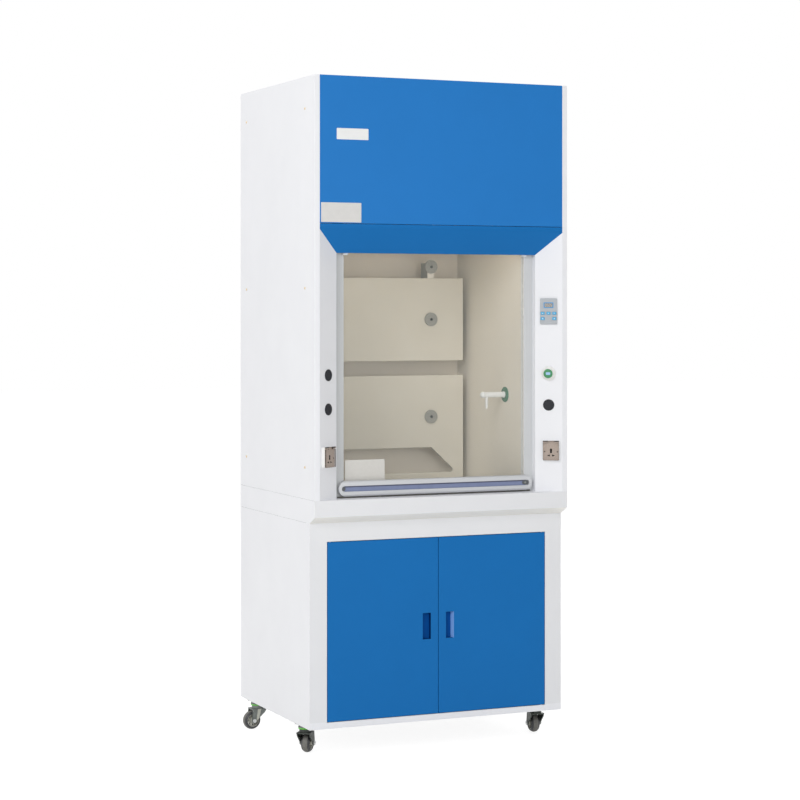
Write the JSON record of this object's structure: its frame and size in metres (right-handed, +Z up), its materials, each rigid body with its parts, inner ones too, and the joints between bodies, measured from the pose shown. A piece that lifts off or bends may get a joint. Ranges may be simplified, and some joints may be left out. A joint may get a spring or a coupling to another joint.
{
  "type": "fume hood",
  "caption": "Floor-standing ducted fume hood: steel cabinet with blue fascia, counterbalanced glass sash, baffled chamber, blower, and a base cabinet with doors on swivel casters.",
  "frame": {"origin": "on the floor under the middle of the hood", "axes": "+Z up, -Y towards the person at the sash, +X to that person's right"},
  "size_m": [0.9485, 0.7152, 2.225],
  "materials": {
    "white_paint": "satin white powder coat",
    "blue_paint": "satin blue powder coat",
    "ivory_board": "matt ivory laminate board",
    "worktop_board": "matt pale composite board",
    "aluminium": "satin anodised",
    "pane_glass": "clear polished",
    "inlay_plastic": "matt lavender",
    "grey_plastic": "matt light grey",
    "black_plastic": "matt black",
    "smoky_plastic": "glossy smoky translucent",
    "white_plastic": "glossy white",
    "green_plastic": "satin green",
    "key_plastic": "satin light blue",
    "zinc_steel": "zinc plated",
    "grey_iron": "satin grey enamel",
    "wheel_rubber": "matt dark grey"
  },
  "bodies": {
    "cabinet": {"left_side_panel": "white_paint", "right_side_panel": "white_paint", "rear_panel": "white_paint", "top_panel": "white_paint", "exhaust_collar": "white_paint", "upper_fascia": "blue_paint", "lower_fascia": "blue_paint", "left_column": "white_paint", "right_column": "white_paint", "side_liners": "ivory_board", "rear_liner": "ivory_board", "ceiling_liner": "ivory_board", "lamp": "white_plastic", "upper_baffle": "ivory_board", "lower_baffle": "ivory_board", "baffle_standoffs": "grey_plastic", "sash_guides": "aluminium", "faucet_flange": "green_plastic", "faucet_spout": "white_plastic", "control_panel": "grey_plastic", "hole_plugs": "black_plastic", "sockets": "white_plastic", "pulley_brackets": "zinc_steel", "blower_housing": "zinc_steel", "blower_motor": "grey_iron", "bench_frame": "white_paint", "worktop": "worktop_board", "cup_sink": "black_plastic", "base_side_panels": "white_paint", "base_rear_panel": "white_paint", "base_floor": "white_paint", "base_front_frame": "white_paint", "caster_plates": "zinc_steel", "sash_cables": "zinc_steel"},
    "sash": {"sash_pane": "pane_glass", "sash_handle": "aluminium", "handle_inlay": "inlay_plastic", "sash_clamps": "white_plastic"},
    "counterweights": {"counterweights": "grey_iron"},
    "front_pulleys": {"front_pulleys": "white_plastic"},
    "rear_pulleys": {"rear_pulleys": "white_plastic"},
    "left_door": {"left_door": "blue_paint"},
    "right_door": {"right_door": "blue_paint"},
    "water_knob": {"water_knob": "white_plastic"},
    "key_1": {"key_1": "key_plastic"},
    "key_2": {"key_2": "key_plastic"},
    "key_3": {"key_3": "key_plastic"},
    "key_4": {"key_4": "key_plastic"},
    "key_5": {"key_5": "key_plastic"},
    "left_socket_cover": {"left_socket_cover": "smoky_plastic"},
    "right_socket_cover": {"right_socket_cover": "smoky_plastic"},
    "impeller": {"impeller": "zinc_steel"},
    "front_left_fork": {"front_left_fork": "zinc_steel"},
    "front_left_wheel": {"front_left_wheel": "wheel_rubber"},
    "front_right_fork": {"front_right_fork": "zinc_steel"},
    "front_right_wheel": {"front_right_wheel": "wheel_rubber"},
    "rear_left_fork": {"rear_left_fork": "zinc_steel"},
    "rear_left_wheel": {"rear_left_wheel": "wheel_rubber"},
    "rear_right_fork": {"rear_right_fork": "zinc_steel"},
    "rear_right_wheel": {"rear_right_wheel": "wheel_rubber"}
  },
  "joints": [
    {"name": "sash_lift", "type": "slide", "parent": "cabinet", "child": "sash", "axis": [0, 0, 1], "range_m": [0, 0.46], "deforming": ["sash_cables"]},
    {"name": "counterweight_travel", "type": "slide", "parent": "cabinet", "child": "counterweights", "axis": [0, 0, -1], "range_m": [0, 0.46]},
    {"name": "front_pulley_turn", "type": "hinge", "parent": "cabinet", "child": "front_pulleys", "pos_m": [0, -0.2435, 2.145], "axis": [-1, 0, 0], "range_deg": [-1, 1320]},
    {"name": "rear_pulley_turn", "type": "hinge", "parent": "cabinet", "child": "rear_pulleys", "pos_m": [0, 0.2815, 2.145], "axis": [-1, 0, 0], "range_deg": [-1, 1320]},
    {"name": "left_door_swing", "type": "hinge", "parent": "cabinet", "child": "left_door", "pos_m": [-0.383, -0.3025, 0.41], "axis": [0, 0, -1], "range_deg": [0, 110]},
    {"name": "right_door_swing", "type": "hinge", "parent": "cabinet", "child": "right_door", "pos_m": [0.383, -0.3025, 0.41], "axis": [0, 0, 1], "range_deg": [0, 110]},
    {"name": "water_knob_turn", "type": "hinge", "parent": "cabinet", "child": "water_knob", "pos_m": [0.3985, -0.328, 1.2346], "axis": [-0.5446, -0.8387, 0], "range_deg": [0, 270]},
    {"name": "key_1_press", "type": "slide", "parent": "cabinet", "child": "key_1", "axis": [0.5446, 0.8387, 0], "range_m": [0, 0.0015], "stiffness_N_per_m": 500},
    {"name": "key_2_press", "type": "slide", "parent": "cabinet", "child": "key_2", "axis": [0.5446, 0.8387, 0], "range_m": [0, 0.0015], "stiffness_N_per_m": 500},
    {"name": "key_3_press", "type": "slide", "parent": "cabinet", "child": "key_3", "axis": [0.5446, 0.8387, 0], "range_m": [0, 0.0015], "stiffness_N_per_m": 500},
    {"name": "key_4_press", "type": "slide", "parent": "cabinet", "child": "key_4", "axis": [0.5446, 0.8387, 0], "range_m": [0, 0.0015], "stiffness_N_per_m": 500},
    {"name": "key_5_press", "type": "slide", "parent": "cabinet", "child": "key_5", "axis": [0.5446, 0.8387, 0], "range_m": [0, 0.0015], "stiffness_N_per_m": 500},
    {"name": "left_cover_swing", "type": "hinge", "parent": "cabinet", "child": "left_socket_cover", "pos_m": [-0.3978, -0.34543, 1.00616], "axis": [-0.8387, -0.5446, 0], "range_deg": [0, 110]},
    {"name": "right_cover_swing", "type": "hinge", "parent": "cabinet", "child": "right_socket_cover", "pos_m": [0.3978, -0.34543, 1.00616], "axis": [-0.8387, 0.5446, 0], "range_deg": [0, 110]},
    {"name": "impeller_spin", "type": "hinge", "parent": "cabinet", "child": "impeller", "pos_m": [0, 0.02, 1.905], "axis": [1, 0, 0], "continuous": true},
    {"name": "front_left_swivel", "type": "hinge", "parent": "cabinet", "child": "front_left_fork", "pos_m": [-0.422, -0.186, 0.08], "axis": [0, 0, 1], "continuous": true},
    {"name": "front_left_roll", "type": "hinge", "parent": "front_left_fork", "child": "front_left_wheel", "pos_m": [-0.40815, -0.1689, 0.0315], "axis": [-0.7771, 0.6293, 0], "continuous": true},
    {"name": "front_right_swivel", "type": "hinge", "parent": "cabinet", "child": "front_right_fork", "pos_m": [0.422, -0.186, 0.08], "axis": [0, 0, 1], "continuous": true},
    {"name": "front_right_roll", "type": "hinge", "parent": "front_right_fork", "child": "front_right_wheel", "pos_m": [0.42544, -0.16427, 0.0315], "axis": [-0.9877, 0.1564, 0], "continuous": true},
    {"name": "rear_left_swivel", "type": "hinge", "parent": "cabinet", "child": "rear_left_fork", "pos_m": [-0.422, 0.272, 0.08], "axis": [0, 0, 1], "continuous": true},
    {"name": "rear_left_roll", "type": "hinge", "parent": "rear_left_fork", "child": "rear_left_wheel", "pos_m": [-0.44392, 0.27008, 0.0315], "axis": [0.0872, -0.9962, 0], "continuous": true},
    {"name": "rear_right_swivel", "type": "hinge", "parent": "cabinet", "child": "rear_right_fork", "pos_m": [0.422, 0.272, 0.08], "axis": [0, 0, 1], "continuous": true},
    {"name": "rear_right_roll", "type": "hinge", "parent": "rear_right_fork", "child": "rear_right_wheel", "pos_m": [0.44254, 0.26412, 0.0315], "axis": [0.3584, 0.9336, 0], "continuous": true}
  ],
  "couplings": [
    {"joint": "counterweight_travel", "follows": "sash_lift", "ratio": 1},
    {"joint": "front_pulley_turn", "follows": "sash_lift", "rad_per_m": 50},
    {"joint": "rear_pulley_turn", "follows": "sash_lift", "rad_per_m": 50}
  ]
}
